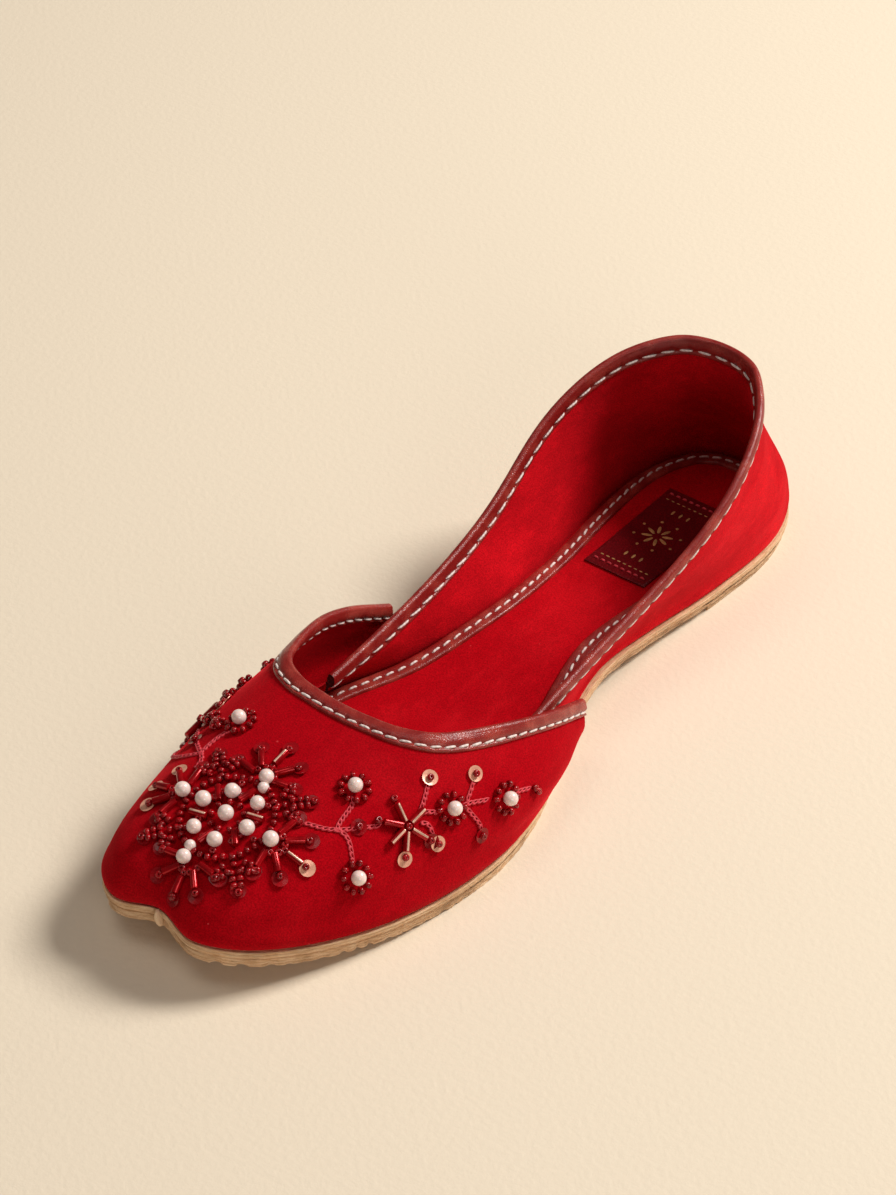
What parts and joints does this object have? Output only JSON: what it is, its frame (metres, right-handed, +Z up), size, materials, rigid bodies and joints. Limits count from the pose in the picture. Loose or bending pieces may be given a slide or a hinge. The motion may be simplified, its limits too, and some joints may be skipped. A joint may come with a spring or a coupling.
{
  "type": "mojari shoe",
  "caption": "Flat slip-on shoe: layered leather sole with a low heel lift, hollow velvet upper with a domed vamp and a flared heel counter, leather-bound edges and pearl beadwork.",
  "frame": {"origin": "middle of the base of the bounding box, on the floor under the waist of the sole", "axes": "+Z up, -Y towards the toe, +Y towards the heel, +X towards the outer side of the wearer's left foot"},
  "size_m": [0.0908, 0.2572, 0.062],
  "materials": {
    "sole_leather": "natural vegetable-tanned leather, matte, cut edge left rough",
    "edge_leather": "natural leather, thin lip, slightly burnished",
    "velvet": "deep red velvet with a short mottled nap",
    "binding_leather": "brick red-brown leather tape, soft gloss, fine grain",
    "label_leather": "dark maroon leather, satin",
    "pearl": "imitation pearl, warm white, soft gloss"
  },
  "bodies": {
    "root": {"outsole": "sole_leather", "midsole": "edge_leather", "heel_lift": "sole_leather", "upper": "velvet", "insole": "velvet", "insole_binding": "binding_leather", "throat_binding": "binding_leather", "topline_binding": "binding_leather", "label": "label_leather", "pearl_01": "pearl", "pearl_02": "pearl", "pearl_03": "pearl", "pearl_04": "pearl", "pearl_05": "pearl", "pearl_06": "pearl", "pearl_07": "pearl", "pearl_08": "pearl", "pearl_09": "pearl", "pearl_10": "pearl", "pearl_11": "pearl", "pearl_12": "pearl", "pearl_13": "pearl", "pearl_14": "pearl", "pearl_15": "pearl", "pearl_16": "pearl", "pearl_17": "pearl", "pearl_18": "pearl", "pearl_19": "pearl"}
  },
  "joints": []
}
